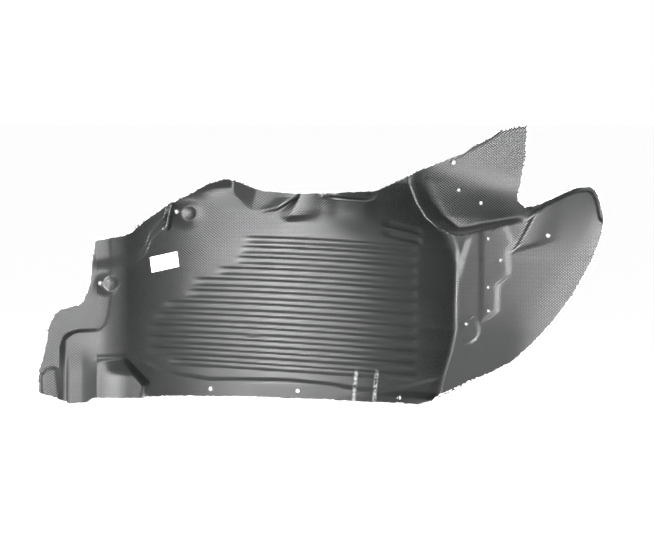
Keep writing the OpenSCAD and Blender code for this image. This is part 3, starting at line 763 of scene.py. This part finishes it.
def label_paper(s):
    """White matt paper, uncoated: a warm white with a faint fibre, and no print on it."""
    m, tree, shader = new_material("matt_label_paper", s.paper_colour,
        roughness=0.8, ior=1.5)
    place = add(tree, "ShaderNodeTexCoord")
    fibre = add(tree, "ShaderNodeTexNoise", {"Vector": place.outputs["Object"]})
    # paper fibre is far finer than a pixel, so it is drawn at 2 mm
    fibre.inputs["Scale"].default_value = 1 / FIBRE
    tone = add(tree, "ShaderNodeMapRange", {0: fibre.outputs[0]}, in_1=0.3, in_2=0.7,
        in_3=0.92, in_4=1.0)
    paper = add(tree, "ShaderNodeVectorMath", {"Scale": tone.outputs[0]}, operation="SCALE",
        in_0=linear(s.paper_colour)[:3])
    tree.links.new(paper.outputs[0], shader.inputs["Base Color"])
    return m


class OBJECT_OT_liner_sheet(bpy.types.Operator):
    """Makes the formed sheet with its ribs, folds, seats and drilled holes"""
    bl_idname = "object.liner_sheet"
    bl_label = "Liner sheet"

    def execute(self, context):
        s = context.scene.liner
        rib, thick = RibShape(s), s.sheet_t * 1000
        points, four, edge = sheet_points(rib, thick)
        x, z = points[:, 0], points[:, 2]
        marks = {"UVMap": np.stack([along_sheet(x, z), z], axis=-1) / 1000,
            "trim": trim_distance(x, z), "grain_depth": grain_depth(x, z),
            "matt": mattness(x, z)}
        piece = make_piece("formed_sheet", (points + drawing_shift(rib, thick)) / 1000,
            [four, edge], marks)
        # the cut edge is shaded flat, and so is the steep ledge at the fin's foot
        x, _, z = points[four].mean(axis=1).T
        h = above_foot(x, z)
        flat = np.ones(len(piece.data.polygons), bool)
        flat[:len(four)] = ((h > LEDGE_FLAT[0]) & (h < LEDGE_FLAT[1])
            & (x > LEDGE_X[0]) & (x < LEDGE_X[1]))
        piece.data.polygons.foreach_set("use_smooth", ~flat)
        piece.data.materials.append(formed_polyethylene(s))
        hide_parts("liner")
        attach(piece, "root")
        return {"FINISHED"}


class OBJECT_OT_liner_label(bpy.types.Operator):
    """Makes the paper label that is stuck on the sheet"""
    bl_idname = "object.liner_label"
    bl_label = "Label"

    def execute(self, context):
        s = context.scene.liner
        rib, thick = RibShape(s), s.sheet_t * 1000
        points, faces = label_points(rib)
        piece = make_piece("paper_label", (points + drawing_shift(rib, thick)) / 1000,
            faces, {})
        # only the front is shaded smooth
        smooth = np.zeros(len(piece.data.polygons), bool)
        smooth[:LABEL_CELLS[0] * LABEL_CELLS[1]] = True
        piece.data.polygons.foreach_set("use_smooth", smooth)
        piece.data.materials.append(label_paper(s))
        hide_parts("label")
        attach(piece, "root")
        return {"FINISHED"}


class SCENE_OT_liner_stage(bpy.types.Operator):
    """Makes the floor, the soft lights, the white background and the camera"""
    bl_idname = "scene.liner_stage"
    bl_label = "Stage"

    def execute(self, context):
        s, scene = context.scene.stage, context.scene
        floor = make_piece("floor", np.array(FLOOR, float), [np.array([[0, 1, 2, 3]])], {})
        floor.data.materials.append(
            new_material("studio_floor", s.floor_colour, roughness=0.9, ior=1.45)[0])
        # each softbox: degrees that it stands to the right of the camera and above the
        # liner's middle, its width and height in metres, and its power
        for name, turn, rise, wide, high, power in (
                ("key_softbox", -2, 2, 1.9, 0.4, s.key_power),
                ("fill_softbox", 50, 15, 1.2, 1.2, s.fill_power),
                ("back_softbox", 170, 25, 1.6, 1.6, s.back_power)):
            lamp = bpy.data.lights.new(name, "AREA")
            lamp.shape = "RECTANGLE"
            lamp.size, lamp.size_y, lamp.energy = wide, high, power
            ob = bpy.data.objects.new(name, lamp)
            scene.collection.objects.link(ob)
            turn, rise = math.radians(turn), math.radians(rise)
            ob.location = (LAMP_FAR * math.sin(turn) * math.cos(rise),
                -LAMP_FAR * math.cos(turn) * math.cos(rise),
                LAMP_MIDDLE + LAMP_FAR * math.sin(rise))
            ob.rotation_euler = (math.pi / 2 - rise, 0, turn)
        # a plain white room, the same for every kind of ray
        world = bpy.data.worlds.new("white_room")
        scene.world = world
        world.use_nodes = True
        tree = world.node_tree
        tree.nodes.clear()
        back = add(tree, "ShaderNodeBackground", in_0=(1, 1, 1, 1), in_1=s.sky)
        add(tree, "ShaderNodeOutputWorld", {0: back.outputs[0]})
        lens = bpy.data.cameras.new("camera")
        camera = bpy.data.objects.new("camera", lens)
        scene.collection.objects.link(camera)
        way = np.array([0, -math.cos(CAMERA_RISE), math.sin(CAMERA_RISE)])
        camera.location = np.array(AIM) + s.distance * way
        camera.rotation_euler = (math.pi / 2 - CAMERA_RISE, 0, 0)
        lens.lens = lens.sensor_width * s.distance / PHOTO_WIDTH
        lens.clip_end = 100
        scene.camera = camera
        scene.view_settings.view_transform = "Standard"
        return {"FINISHED"}


class VIEW3D_PT_liner(bpy.types.Panel):
    """Lists the liner's settings and its pieces"""
    bl_idname = "VIEW3D_PT_liner"
    bl_label = "Wheel Arch Liner"
    bl_space_type = "VIEW_3D"
    bl_region_type = "UI"
    bl_category = "Liner"

    def draw(self, context):
        for group in (context.scene.liner, context.scene.stage):
            for name in group.__annotations__:
                self.layout.prop(group, name)
        for step in STEPS:
            self.layout.operator(step.bl_idname)


STEPS = (OBJECT_OT_liner_sheet, OBJECT_OT_liner_label, SCENE_OT_liner_stage)
CLASSES = (LinerSettings, StageSettings) + STEPS + (VIEW3D_PT_liner,)


def register():
    for c in CLASSES:
        bpy.utils.register_class(c)
    bpy.types.Scene.liner = bpy.props.PointerProperty(type=LinerSettings)
    bpy.types.Scene.stage = bpy.props.PointerProperty(type=StageSettings)


def unregister():
    del bpy.types.Scene.stage
    del bpy.types.Scene.liner
    for c in reversed(CLASSES):
        bpy.utils.unregister_class(c)


def main():
    register()
    bpy.ops.object.liner_sheet()
    bpy.ops.object.liner_label()
    bpy.ops.scene.liner_stage()


if __name__ == "__main__":
    main()
